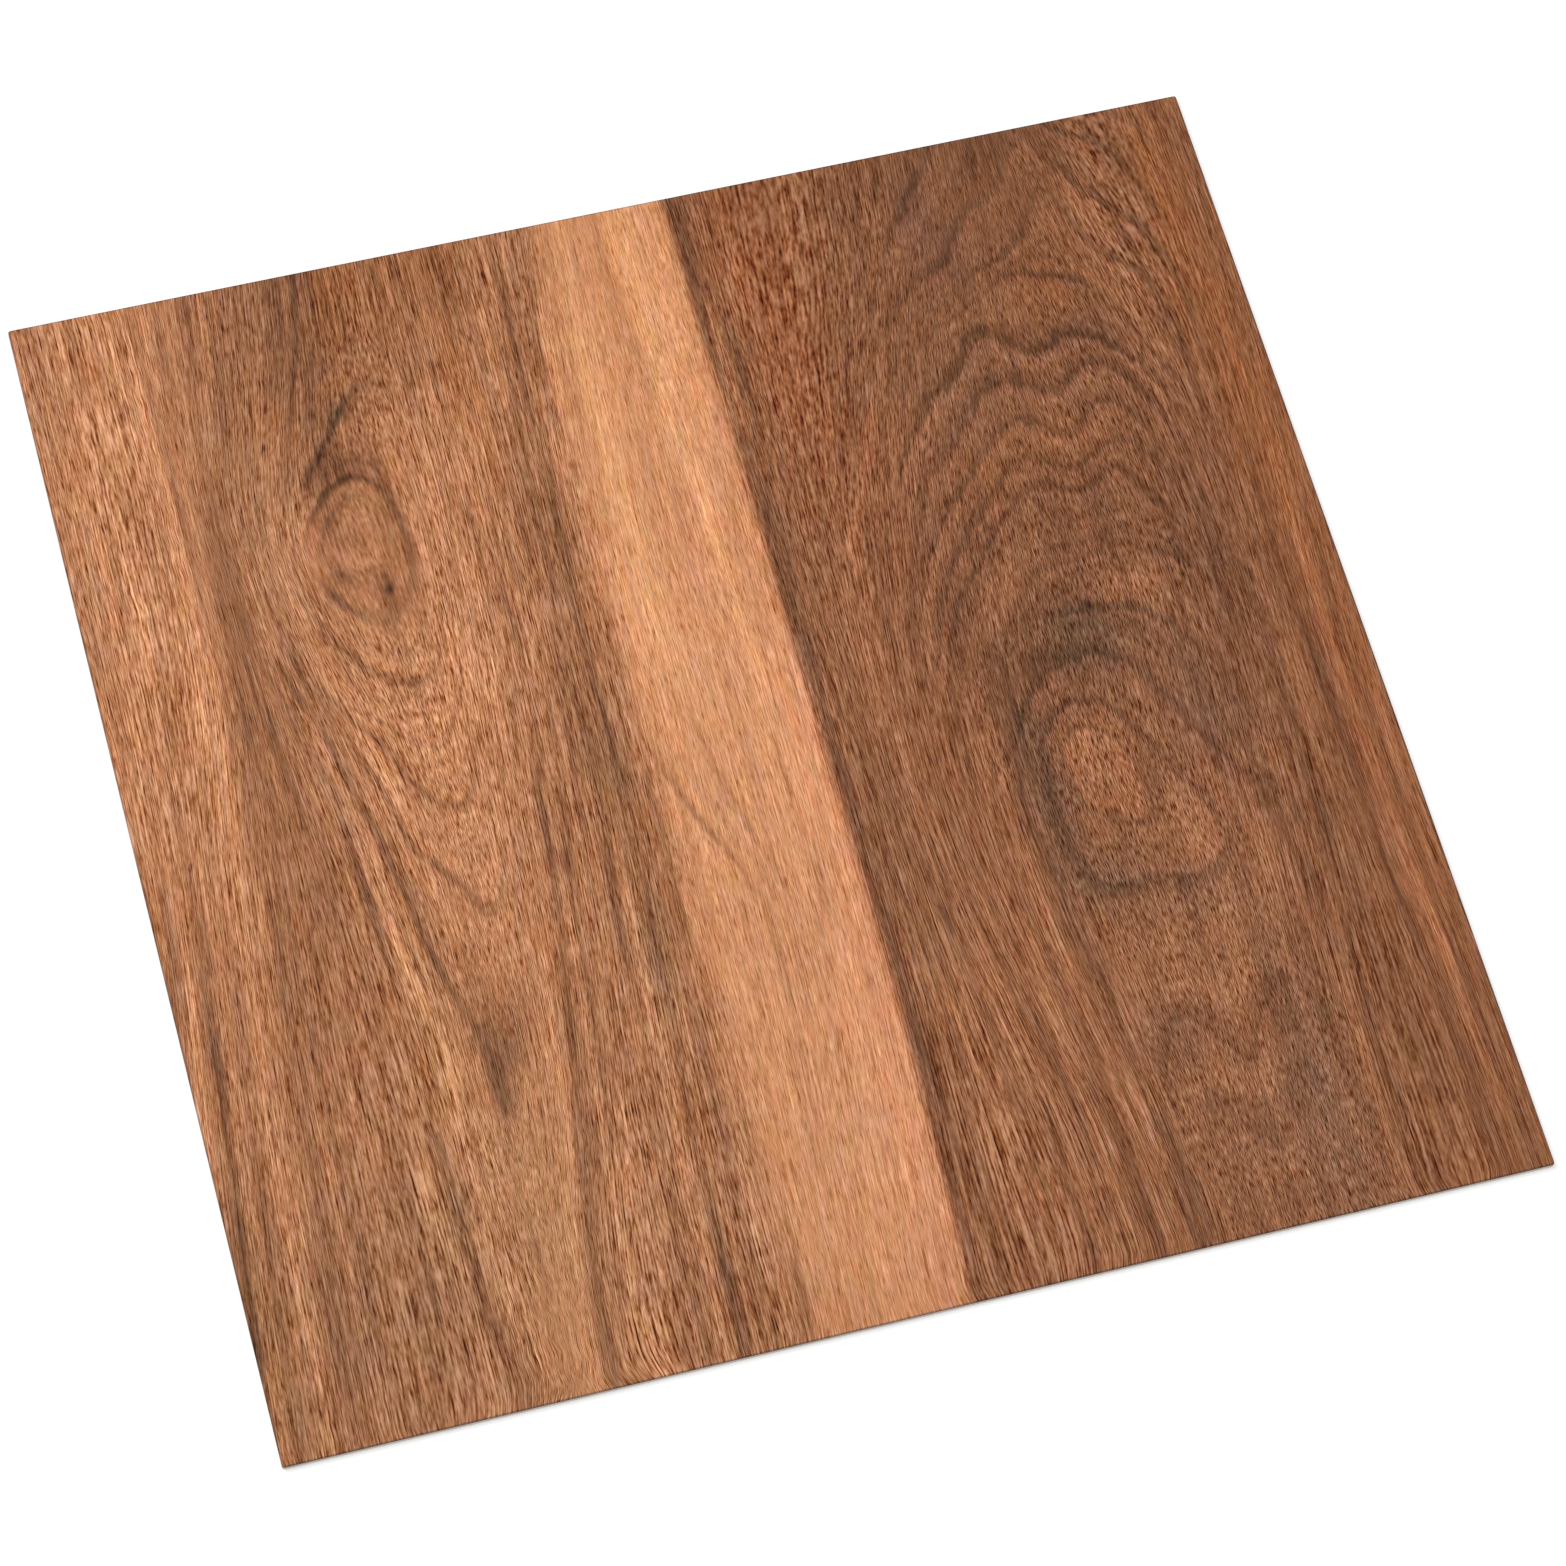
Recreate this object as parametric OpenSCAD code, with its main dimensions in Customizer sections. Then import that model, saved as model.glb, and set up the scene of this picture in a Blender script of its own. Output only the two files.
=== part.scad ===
// Square vinyl floor tile with a wood-grain face, as one sheet of stock.
// A die cuts it from the wear side: it rolls a small shoulder on the top edge
// all round and leaves the edge of the back square.
// The origin is the middle of the back. +Z leaves the wear face, and the grain runs along Y.

/* [Sheet] */
// Size of the tile along the grain
tile_len = 305; // [100:1:610]
// Size of the tile across the grain
tile_w = 305; // [100:1:610]
// Thickness of the vinyl sheet
sheet_t = 1.5; // [1:0.1:5]

/* [Cut edge] */
// Radius of each corner of the tile, seen from above
corner_r = 0.6; // [0.4:0.1:5]
// Radius of the shoulder that the die rolls along the top edge
shoulder_r = 0.2; // [0.05:0.05:0.3]

/* [Hidden] */
$fn = 48;
// Flat part of the tile between the centres of its corners
core_w = tile_w - 2 * corner_r;
core_len = tile_len - 2 * corner_r;

// Section of the cut edge: the sheet stands on y = 0, and the cut is at x = corner_r
module edge_section() {
    square([corner_r, sheet_t - shoulder_r]);
    square([corner_r - shoulder_r, sheet_t]);
    translate([corner_r - shoulder_r, sheet_t - shoulder_r])
        intersection() {
            circle(r = shoulder_r);
            square(shoulder_r);
        }
}

// One side of the tile from corner to corner, its cut facing +X
module side_strip(length) {
    translate([0, length / 2, 0])
        rotate([90, 0, 0])
            linear_extrude(height = length)
                edge_section();
}

// One corner of the tile, turned about its own centre
module corner_turn() {
    rotate_extrude(angle = 90)
        edge_section();
}

module vinyl_tile() {
    color([0.63, 0.42, 0.28]) {
        translate([-core_w / 2, -core_len / 2, 0])
            cube([core_w, core_len, sheet_t]);
        for (side = [0, 1]) {
            rotate([0, 0, 180 * side]) {
                translate([core_w / 2, 0, 0])
                    side_strip(core_len);
                translate([0, core_len / 2, 0])
                    rotate([0, 0, 90])
                        side_strip(core_w);
                translate([core_w / 2, core_len / 2, 0])
                    corner_turn();
                translate([-core_w / 2, core_len / 2, 0])
                    rotate([0, 0, 90])
                        corner_turn();
            }
        }
    }
}

vinyl_tile();
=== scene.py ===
import math

import bpy
import numpy as np
from mathutils import Matrix, Vector


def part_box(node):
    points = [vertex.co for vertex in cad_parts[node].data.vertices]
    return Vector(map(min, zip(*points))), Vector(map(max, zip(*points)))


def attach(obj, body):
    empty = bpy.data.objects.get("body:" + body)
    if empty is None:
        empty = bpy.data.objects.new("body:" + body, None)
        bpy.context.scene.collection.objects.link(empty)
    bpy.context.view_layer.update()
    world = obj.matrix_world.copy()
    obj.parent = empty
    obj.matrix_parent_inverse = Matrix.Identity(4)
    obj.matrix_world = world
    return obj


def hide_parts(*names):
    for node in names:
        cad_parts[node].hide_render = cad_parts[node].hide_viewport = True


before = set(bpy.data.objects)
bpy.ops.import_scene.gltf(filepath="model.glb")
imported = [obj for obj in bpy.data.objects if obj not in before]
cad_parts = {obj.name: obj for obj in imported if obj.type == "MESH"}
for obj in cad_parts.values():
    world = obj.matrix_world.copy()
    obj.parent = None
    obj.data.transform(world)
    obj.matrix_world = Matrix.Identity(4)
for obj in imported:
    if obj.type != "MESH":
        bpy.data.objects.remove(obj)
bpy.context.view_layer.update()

# Camera. The tile lies flat and is seen from above its near left side,
# through a long lens, turned a little clockwise in the picture.
eye = Vector((-0.2069, -0.5424, 1.1606))
azimuth = math.radians(-21.59)
elevation = math.radians(63.87)
roll = math.radians(7.10)

towards_eye = Vector((math.sin(azimuth) * math.cos(elevation),
                      -math.cos(azimuth) * math.cos(elevation),
                      math.sin(elevation)))
level_right = Vector((math.cos(azimuth), math.sin(azimuth), 0))
level_up = towards_eye.cross(level_right)
right = level_right * math.cos(roll) + level_up * math.sin(roll)
up = level_up * math.cos(roll) - level_right * math.sin(roll)

camera_data = bpy.data.cameras.new("camera")
camera_data.sensor_fit = "HORIZONTAL"
camera_data.sensor_width = 36
camera_data.lens = 123.38
camera = bpy.data.objects.new("camera", camera_data)
camera.matrix_world = Matrix.Translation(eye) @ Matrix((right, up, towards_eye)).transposed().to_4x4()
bpy.context.collection.objects.link(camera)
bpy.context.scene.camera = camera

# The tile is one sheet of filled vinyl: a pale base, a printed film and a clear wear layer,
# fused in a press and die-cut square. The die rolls a small shoulder on the top edge
# and leaves the back edge square. The mesh follows that section all round.
low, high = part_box("vinyl_tile")
tile_w = (high.x - low.x) * 1000
tile_len = (high.y - low.y) * 1000
sheet_t = (high.z - low.z) * 1000
corner_r = 0.6
shoulder_r = 0.2
shoulder_steps = 4
corner_steps = 4
columns = 304
rows = 244

core_w = tile_w - 2 * corner_r
core_len = tile_len - 2 * corner_r
grid_x = np.linspace(-core_w / 2, core_w / 2, columns + 1)
grid_y = np.linspace(-core_len / 2, core_len / 2, rows + 1)


def grid_index(column, row):
    return row * (columns + 1) + column


def edge_walk():
    """Walks round the flat core: (index of the core point, direction outwards) in turn."""
    walk = []
    sides = [
        ([grid_index(c, 0) for c in range(columns + 1)], -90),
        ([grid_index(columns, r) for r in range(rows + 1)], 0),
        ([grid_index(c, rows) for c in range(columns, -1, -1)], 90),
        ([grid_index(0, r) for r in range(rows, -1, -1)], 180),
    ]
    for side, facing in sides:
        walk += [(index, math.radians(facing)) for index in side]
        for step in range(1, corner_steps):
            walk.append((side[-1], math.radians(facing + 90 * step / corner_steps)))
    return walk


# Section of the cut edge: how far out of the core each line of points is, its height,
# and how far along the skin it lies
section = [(corner_r - shoulder_r, sheet_t)]
for step in range(1, shoulder_steps + 1):
    turn = math.pi / 2 * step / shoulder_steps
    section.append((corner_r - shoulder_r + shoulder_r * math.sin(turn),
                    sheet_t - shoulder_r + shoulder_r * math.cos(turn)))
section.append((corner_r, 0))
skin = [section[0][0]]
for (out_a, height_a), (out_b, height_b) in zip(section, section[1:]):
    skin.append(skin[-1] + math.hypot(out_b - out_a, height_b - height_a))

walk = edge_walk()
turns = len(walk)
core = np.array([index for index, facing in walk])
outwards = np.array([(math.cos(facing), math.sin(facing)) for index, facing in walk])
flat = np.array([(x, y) for y in grid_y for x in grid_x])
points = [np.column_stack([flat, np.full(len(flat), sheet_t)])]
unrolled = [flat]
edge_stretch = 3
for (out, height), along in zip(section, skin):
    points.append(np.column_stack([flat[core] + outwards * out, np.full(turns, height)]))
    unrolled.append(flat[core] + outwards * along * edge_stretch)
points = np.vstack(points)
unrolled = np.vstack(unrolled)


def line_start(line):
    return len(flat) + line * turns


faces = []
kinds = []
PRINTED, CUT, BACK = 0, 1, 2
for row in range(rows):
    for column in range(columns):
        faces.append((grid_index(column, row), grid_index(column + 1, row),
                      grid_index(column + 1, row + 1), grid_index(column, row + 1)))
        kinds.append(PRINTED)
for place in range(turns):
    following = (place + 1) % turns
    inner, inner_next = walk[place][0], walk[following][0]
    outer, outer_next = line_start(0) + place, line_start(0) + following
    face = (inner, outer, outer_next) if inner == inner_next else (inner, outer, outer_next, inner_next)
    faces.append(face)
    kinds.append(PRINTED)
    for line in range(len(section) - 1):
        top, below = line_start(line), line_start(line + 1)
        faces.append((top + place, below + place, below + following, top + following))
        kinds.append(PRINTED if line < shoulder_steps else CUT)

# The back is laid out in strips across the tile, with one face along each end
foot = line_start(len(section) - 1)
near_side = [foot + place for place in range(columns + 1)]
right_side = [foot + columns + corner_steps + place for place in range(rows + 1)]
far_side = [right_side[-1] + corner_steps + place for place in range(columns + 1)]
left_side = [far_side[-1] + corner_steps + place for place in range(rows + 1)]
for row in range(rows):
    faces.append((left_side[rows - row], left_side[rows - row - 1], right_side[row + 1], right_side[row]))
    kinds.append(BACK)
near_end = list(range(left_side[-1], foot + turns)) + list(range(foot, right_side[0] + 1))
far_end = list(range(right_side[-1], left_side[0] + 1))
faces += [tuple(reversed(near_end)), tuple(reversed(far_end))]
kinds += [BACK, BACK]

sheet_mesh = bpy.data.meshes.new("vinyl_tile_sheet")
sheet_mesh.from_pydata((points / 1000).tolist(), [], faces)
sheet_mesh.polygons.foreach_set("material_index", kinds)
sheet_mesh.update()
sheet = bpy.data.objects.new("vinyl_tile_sheet", sheet_mesh)
bpy.context.collection.objects.link(sheet)

# The figure of the print: two boards of walnut-like wood with a band of pale sapwood between.
# Lines are given as points in mm from the tile's left edge and from its far edge.
# A third number is how dark the line is from that point on.
knot_rings = [
    (1, (62, 76, .6), (65, 71), (69, 67), (73, 65.5, .3), (77, 68, .1), (79, 74), (79, 82), (77, 88),
     (73, 91, .2), (69, 90), (65, 87, .5), (62, 83), (61, 79), (62, 76)),
    (2, (59.5, 73, .4), (61, 70, .7), (64, 66.2, 1), (68, 62), (71, 60.3), (73.5, 59.8), (76, 60.8),
     (78.3, 63.3, .8), (80, 67, .35), (81.7, 74, .25), (82.3, 82), (81.7, 90), (79.5, 96), (76, 100.5, .3),
     (72, 101.8), (68, 99.7), (64.5, 95.5, .7), (61, 90.5, .5), (59, 86, .15), (58.4, 80, .1), (59.5, 73)),
    (3, (84, 34.5, .2), (80, 36, .8), (76.5, 39), (73, 43.5, 1), (70, 48), (66.5, 53), (62.5, 58, .7), (59.5, 64, .4),
     (55, 73, .1), (53.5, 82, 0), (54, 91, .2), (57, 99, .6), (61, 106.5, 1), (65, 113), (70, 116),
     (75, 118.5), (78, 119.5), (81, 116, .5), (84, 109, .3), (87, 100, .1), (89.5, 88, .05),
     (91, 75), (91.5, 60), (91, 48), (88.5, 38), (84, 34.5)),
    (3.5, (79, -5, 0), (80, 12), (83, 27)),
    (4, (73, -8, .8), (72, 0), (69, 15), (66, 27), (63, 38), (60, 48, .4), (57, 58, .2), (54, 68, .15),
     (51.5, 78), (50, 90), (50.5, 100), (53, 108), (56, 116), (60, 122, .4), (65, 128, .5), (70, 133),
     (74, 136.5), (78, 137.5), (81, 133), (85, 124), (88, 114, .15), (91, 100), (93, 85),
     (94.5, 65), (95, 45), (94, 25), (92, 0), (92, -8)),
    (5, (65, -5, .15), (61.5, 15), (58, 30), (54.5, 45), (51, 60), (48, 75), (47, 90), (49, 105, .3),
     (52, 114, .5), (56, 121, .8), (60, 128, 1), (64, 134.5), (67, 142), (71, 149), (75, 153),
     (79, 154), (82, 150, .7), (84, 144, .5), (86.5, 137, .3), (89, 127, .15), (92, 115), (95, 100),
     (97, 80), (98, 60), (98, 30), (97, -5)),
    (6, (58, -5, .1), (55, 17), (52, 35), (49, 52), (46, 70), (44, 85), (46, 100), (49, 112, .5),
     (53, 122), (56, 131), (59, 139), (61.5, 147), (63, 156, .7), (65, 163), (69, 168, .8),
     (73, 174), (76.5, 180), (79.5, 183), (82, 179, .4), (84.5, 172, .2), (87, 162), (89.5, 150),
     (92, 137, .1), (95, 120), (98, 100), (100, 75), (101, 40), (101, -5)),
    (7, (50, -5, .1), (48, 18), (45, 37), (42, 55), (40, 75), (42, 95), (45, 110, .5), (49, 122, .8),
     (52, 134, 1), (54.5, 146), (57, 157), (58.5, 168), (60, 178), (61.5, 188, .9), (64, 198),
     (66.5, 208), (68, 218, .8), (69, 227), (70, 234, .6), (73, 226, .4), (76, 218, .2), (80, 208, .1),
     (83, 198), (86, 186), (89, 172), (92, 158), (95, 143), (98, 125), (101, 100), (103, 70),
     (104, 35), (104, -5)),
    (8, (44, -5, .2), (43, 12), (41, 30), (38, 50), (36, 70), (38, 90), (42, 112, .5), (45, 125),
     (48, 137), (50, 150), (51, 170), (51.5, 190, .3), (52, 210), (52, 230), (52, 250, .35),
     (53.5, 270), (55, 290), (56, 310)),
    (8, (107, -5, .1), (107, 40), (106, 80), (104, 110), (101, 135), (98, 155, .6), (95.5, 175),
     (93, 195, .6), (90, 215, .3), (86, 240), (82, 262), (79, 285), (78, 310)),
    (9, (34, 60, .1), (34, 100), (33, 140), (31, 180, .3), (29, 220), (28, 260), (27, 310)),
    (10, (28, -5, .1), (28, 60), (27.5, 90), (27, 110), (24, 135, .3), (21, 160), (19, 190),
     (17, 215), (15, 250), (13.5, 310)),
    (10, (113, -5, .1), (112, 60), (110, 110), (107, 150, .2), (103, 190), (100, 230), (97, 270),
     (95, 310)),
    (12, (14, -5, .1), (14, 80), (13, 130), (10.5, 165, .6), (8, 195), (6, 220), (4, 240),
     (2, 258), (0, 285)),
    (12, (124, -5, .2), (120, 70), (118, 120), (117, 160), (114, 210), (111, 250), (110, 310)),
    (14, (133, 60, 0), (127, 95, 0), (124, 130, .3), (125, 143), (127, 152), (130, 162, .9),
     (134, 173), (138, 182), (141, 192, .5), (142, 200, .3), (142, 230, .1), (139, 262), (135, 310)),
    (16, (138, 60, 0), (134, 95, .1), (134, 120), (136, 138, .3), (139, 150, .5), (141, 162),
     (144, 175), (147, 185), (149, 195, .3), (150, 215, .1), (149, 250), (145, 310)),
    (17, (146, 125, .1), (148, 150, .3), (149, 165), (151, 185, .1), (153, 215), (152, 250)),
]
arch_rings = [
    (1, (222, 180, .5), (222, 174), (225, 170), (230, 168.5), (235, 171), (238, 177), (240, 185),
     (241, 192), (238, 197), (232, 195), (226, 191), (222.5, 186), (222, 180)),
    (2, (220, 167.5, 1), (224, 163.5, .85), (230, 161.5), (236, 163.5, .7), (240, 168), (243.5, 174),
     (247, 182), (250, 188), (252.5, 194), (254.5, 201, .75), (255.5, 206), (253, 210.5), (248, 214),
     (242, 215), (237, 211.5, .85), (233, 211), (228, 213), (222, 211, .9), (219, 205, 1),
     (217.5, 197), (217.5, 186), (218, 176), (220, 167.5)),
    (3, (225, 310, .4), (221, 285), (217, 260), (215, 240), (214, 225, .6), (212.5, 212),
     (211, 200, .75), (210, 190), (210.5, 180), (212, 170), (215, 164), (219, 158, .6), (224, 153),
     (230, 150), (236, 149.5), (242, 151.5), (247, 156, .4), (250.5, 162), (254.5, 170), (259, 180, .7),
     (263, 188), (266, 194), (268, 202), (270, 212, .5), (271, 222, .4), (272, 240, .3),
     (272, 265), (271, 310)),
    (4, (215, 310, .3), (211, 275), (208, 245), (206, 222), (205, 200, .4), (204, 180),
     (205, 165), (208, 158), (212, 150), (218, 144, .4), (225, 140, .3), (231, 138, .8),
     (238, 137.5, 1), (244, 138.5), (251, 140), (256, 143.5, .8), (260, 148), (264, 154, .5), (267, 160),
     (270, 170, .35), (273, 180), (276, 188), (278, 198), (279, 206, .6), (280, 230, .3),
     (279, 260), (277, 310)),
    (6, (205, 172, .1), (209, 157), (213, 148, .4), (218, 141, .5), (222, 136), (225, 132, .7),
     (229, 127.5, .8), (232, 125, .4), (237, 124.5, .1), (243, 125), (247, 123.5, .5), (251, 121.7),
     (255, 123, .5), (258, 125), (262, 127.5, .65), (266, 129.5), (269, 132.5), (271, 137, .5),
     (272.5, 143, .3), (275, 155), (277, 165), (280, 185, .2), (281.5, 205), (282, 235), (281, 310)),
    (7, (204, 152, .1), (209, 143), (215, 134), (222, 126), (229, 119, .1), (234, 120.5, .4), (239, 119),
     (245, 119.8, .5), (249, 119.5), (252, 118), (257, 119, .4), (261, 121), (266, 123.5), (271, 127, .3),
     (274, 134), (276, 143)),
    (9, (286, 310, .2), (287, 235), (286, 200), (284, 175), (281, 155), (277, 140), (272, 128),
     (268, 118), (262, 107, .4), (258, 101, .6), (252, 104), (248, 106), (244, 104), (240, 101.5),
     (236, 102), (232, 104), (228, 107.5), (224, 112), (219, 118), (214, 124), (209, 131),
     (205, 140, .5), (202, 150), (200, 160), (199, 175), (198, 190, .3), (200, 225), (204, 250),
     (207, 275), (210, 310)),
    (10, (274, 125, .3), (272, 113), (269, 103, .5), (266, 97), (262, 93), (258, 94, .6),
     (254, 96.5), (250, 99), (246, 98.5), (242, 95.5), (238, 93), (234, 94), (230, 97),
     (227, 101.5), (223, 105), (218, 110), (213, 117), (208, 125), (204, 134), (200, 144)),
    (11, (289, 310, .2), (290, 235), (289, 200), (287, 175), (284, 155), (280, 141, .3), (276, 130, .5),
     (275, 118), (273, 107), (271, 98), (268, 90), (264, 83.5, .7), (260, 82), (256, 84),
     (253, 87.5), (250, 89.5), (246, 87.5), (242, 84), (238, 83), (233, 84), (229, 88), (225, 92.5),
     (220, 97), (214.5, 102.5), (209.5, 109), (204, 117), (200, 126, .5), (196.5, 138, .4), (194, 158),
     (194, 200), (196, 230), (200, 265), (204, 310)),
    (12, (276, 100, .6), (274, 90), (271, 82, .9), (268, 75.5), (264, 71.5, 1.1), (259, 71),
     (255, 73.5), (251, 76.5), (247, 76), (243, 73), (239, 71), (234, 71.5), (230, 74.5),
     (226, 79, .9), (222, 84), (218, 88, .75), (213, 92), (209.5, 97.5), (206, 105, .6), (202.5, 114),
     (200, 123), (197, 133)),
    (13, (293, 310, .2), (293, 240), (292, 205), (290, 175), (287, 150), (284, 130), (281, 110, .3),
     (280, 95, .5), (278, 85), (275, 78, .7), (271, 72), (267, 67.5, .85), (263, 63.5),
     (259, 61.5, 1), (255, 62), (251, 64.5), (247, 65), (243, 61.5), (240, 58), (236, 56),
     (232, 57.5), (229.5, 62.5), (226, 67), (222, 70), (217.5, 72.5, .75), (213.5, 78), (209, 84.5),
     (205, 91, .5), (201, 100), (197, 111), (195, 120, .4), (192, 140), (190, 170), (189, 200),
     (192, 230), (196, 265), (200, 310)),
    (14, (188, 180, .3), (191, 130, .3), (196, 107), (202, 90), (208, 78, .35), (213, 66),
     (217, 59), (221, 55), (226, 52), (232, 49, .2), (238, 46), (243, 43), (247, 41.5, .6),
     (251, 41.5, 1), (256, 43.5), (261, 45.5), (266, 48.5, .75), (270, 55), (274, 62, .6),
     (278, 72), (281, 82, .5), (283, 95)),
    (15, (188, 310, .3), (185, 250), (183, 200), (184, 165), (187, 135), (192, 110), (198, 94),
     (204, 79), (210, 66), (214.5, 57), (218.5, 51, .4), (223, 48), (228, 47), (233, 45, .3), (237, 41),
     (241, 38, .6), (246, 36.5), (250, 34.5), (254.5, 30, .5), (258, 23.5), (262, 18), (266, 23),
     (269, 32, .7), (272, 39), (277, 45, .85), (281, 51), (284, 60, .6), (286, 75)),
    (16, (184, 110, .3), (192, 92), (200, 74), (207, 59), (212, 51), (217, 45), (220.5, 41, .6),
     (224.5, 37), (230, 36.5, .9), (234, 33), (237, 28), (240, 23.5), (243, 20.5, .6), (247, 19), (251, 17.5),
     (254, 13, .4), (257, 6), (259, 0), (260, -5)),
    (16, (262, -5, .3), (264, 3), (267, 10, .5), (270, 16, .9), (273, 21), (277, 26), (281, 31),
     (285, 37, .7), (287, 42), (289, 50), (291, 60)),
    (17, (181, 310, .3), (178, 250), (176, 200), (177, 160), (180, 125), (187, 98), (196, 76),
     (204, 59), (210, 45), (216, 33, .4), (221, 25, .75), (226, 18, .9), (230, 12), (235, 6, .6),
     (239, 0), (241, -5)),
    (17, (265, -5, .5), (269, 0), (272, 3), (277, 6, .7), (282, 10), (285, 15), (287, 21),
     (290, 30), (292, 40, .4), (294, 70, .2), (296, 110), (298, 160), (299, 220), (300, 310)),
    (18, (172, 200, .2), (175, 130, .3), (183, 100), (192, 77), (200, 59), (207, 43), (213, 31),
     (218, 19), (222, 8), (225, -5)),
    (21, (170, 130, .2), (176, 100), (185, 72), (194, 48), (202, 22), (208, -5)),
    (25, (170, 70, .2), (177, 45), (183, 20), (188, -5)),
    (2, (228, 310, .2), (225, 288), (222, 270), (223, 257, .5), (227, 250, .6), (232, 246),
     (236, 250), (240, 257), (243, 262), (246, 256), (250, 248), (255, 243), (260, 246),
     (264, 256, .4), (266, 275, .2), (266, 310)),
    (2.5, (220, 228, 0), (230, 230), (241, 233), (251, 229), (262, 228)),
    (13.5, (219, 62, 0), (226, 56)),
    (1, (233, 310, .2), (230, 292), (229, 276, .4), (232, 268), (237, 276), (243, 285),
     (249, 274), (254, 264), (258, 278, .2), (259, 310)),
]

# Lines that the fibres and pores follow round the knot, each with its number of mm across the board
fibre_lines = [
    (3, (3, -5), (3, 150), (-3, 220), (-10, 310)),
    (12, (14, -5), (14, 80), (13, 130), (10.5, 165), (6, 220), (2, 258), (-2, 310)),
    (22, (28, -5), (28, 60), (27, 110), (21, 160), (17, 215), (15, 250), (13, 310)),
    (34, (36, -5), (34, 60), (35, 110), (34, 150), (31, 200), (29, 250), (27, 310)),
    (46, (46, -5), (43, 30), (40, 60), (41, 90), (43, 120), (47, 160), (49, 200), (50, 250), (50, 310)),
    (55, (56, -5), (52, 30), (48, 55), (47, 80), (50, 110), (55, 145), (58, 180), (60, 220), (60, 310)),
    (64, (66, -5), (61, 30), (56, 52), (53, 75), (56, 100), (62, 130), (66, 160), (68, 200), (68, 310)),
    (75, (75, -5), (72, 30), (69, 50), (70, 80), (73, 110), (75, 140), (76, 180), (75, 220),
     (72, 260), (70, 310)),
    (85, (88, -5), (87, 40), (88, 80), (87, 110), (85, 150), (84, 190), (82, 230), (77, 265), (74, 310)),
    (94, (98, -5), (97, 60), (96, 110), (94, 150), (91, 200), (86, 240), (81, 275), (79, 310)),
    (107, (110, -5), (109, 80), (107, 150), (104, 200), (100, 250), (98, 310)),
    (117, (122, -5), (120, 60), (118, 120), (116, 180), (113, 230), (111, 270), (110, 310)),
    (124, (132, -5), (127, 60), (125, 100), (124, 150), (122, 200), (121, 250), (120, 310)),
    (152, (151, -5), (151, 80), (152, 160), (151, 220), (148, 260), (146, 310)),
    (168, (168, -5), (168, 100), (167.5, 170), (166.5, 230), (164, 275), (162, 310)),
    (177, (180, -5), (178, 60), (177, 150), (178, 220), (180, 310)),
    (189, (212, -5), (208, 30), (202, 60), (196, 90), (192, 120), (189, 150), (188, 180), (190, 210),
     (194, 240), (198, 270), (200, 310)),
    (202, (226, -5), (222, 30), (216, 60), (210, 90), (205, 120), (202, 150), (201, 180), (202, 210),
     (205, 240), (209, 270), (212, 310)),
    (237, (245, -5), (240, 60), (238, 120), (236, 180), (238, 240), (238, 310)),
    (281, (268, -5), (273, 30), (278, 60), (281, 100), (281, 150), (279, 200), (276, 250), (275, 310)),
    (289, (288, -5), (291, 40), (292, 80), (290, 120), (289, 160), (289, 200), (290, 250), (291, 310)),
    (297, (300, -5), (301, 50), (299, 100), (296, 150), (295, 200), (297, 250), (298, 310)),
]

# Edges of the sapwood band: the right one is sharp, the left one fades over a few mm
sapwood_right = [(168.3, -5), (168, 45), (167.8, 80), (167.4, 110), (167.3, 150), (167, 190),
                 (166.5, 225), (165.7, 245), (165.1, 260), (164.5, 275), (163.7, 290), (162, 310)]
sapwood_left = [(133, -5), (129, 50), (127, 60), (125, 90), (125, 150), (122, 200), (121, 250), (123, 310)]

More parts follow.
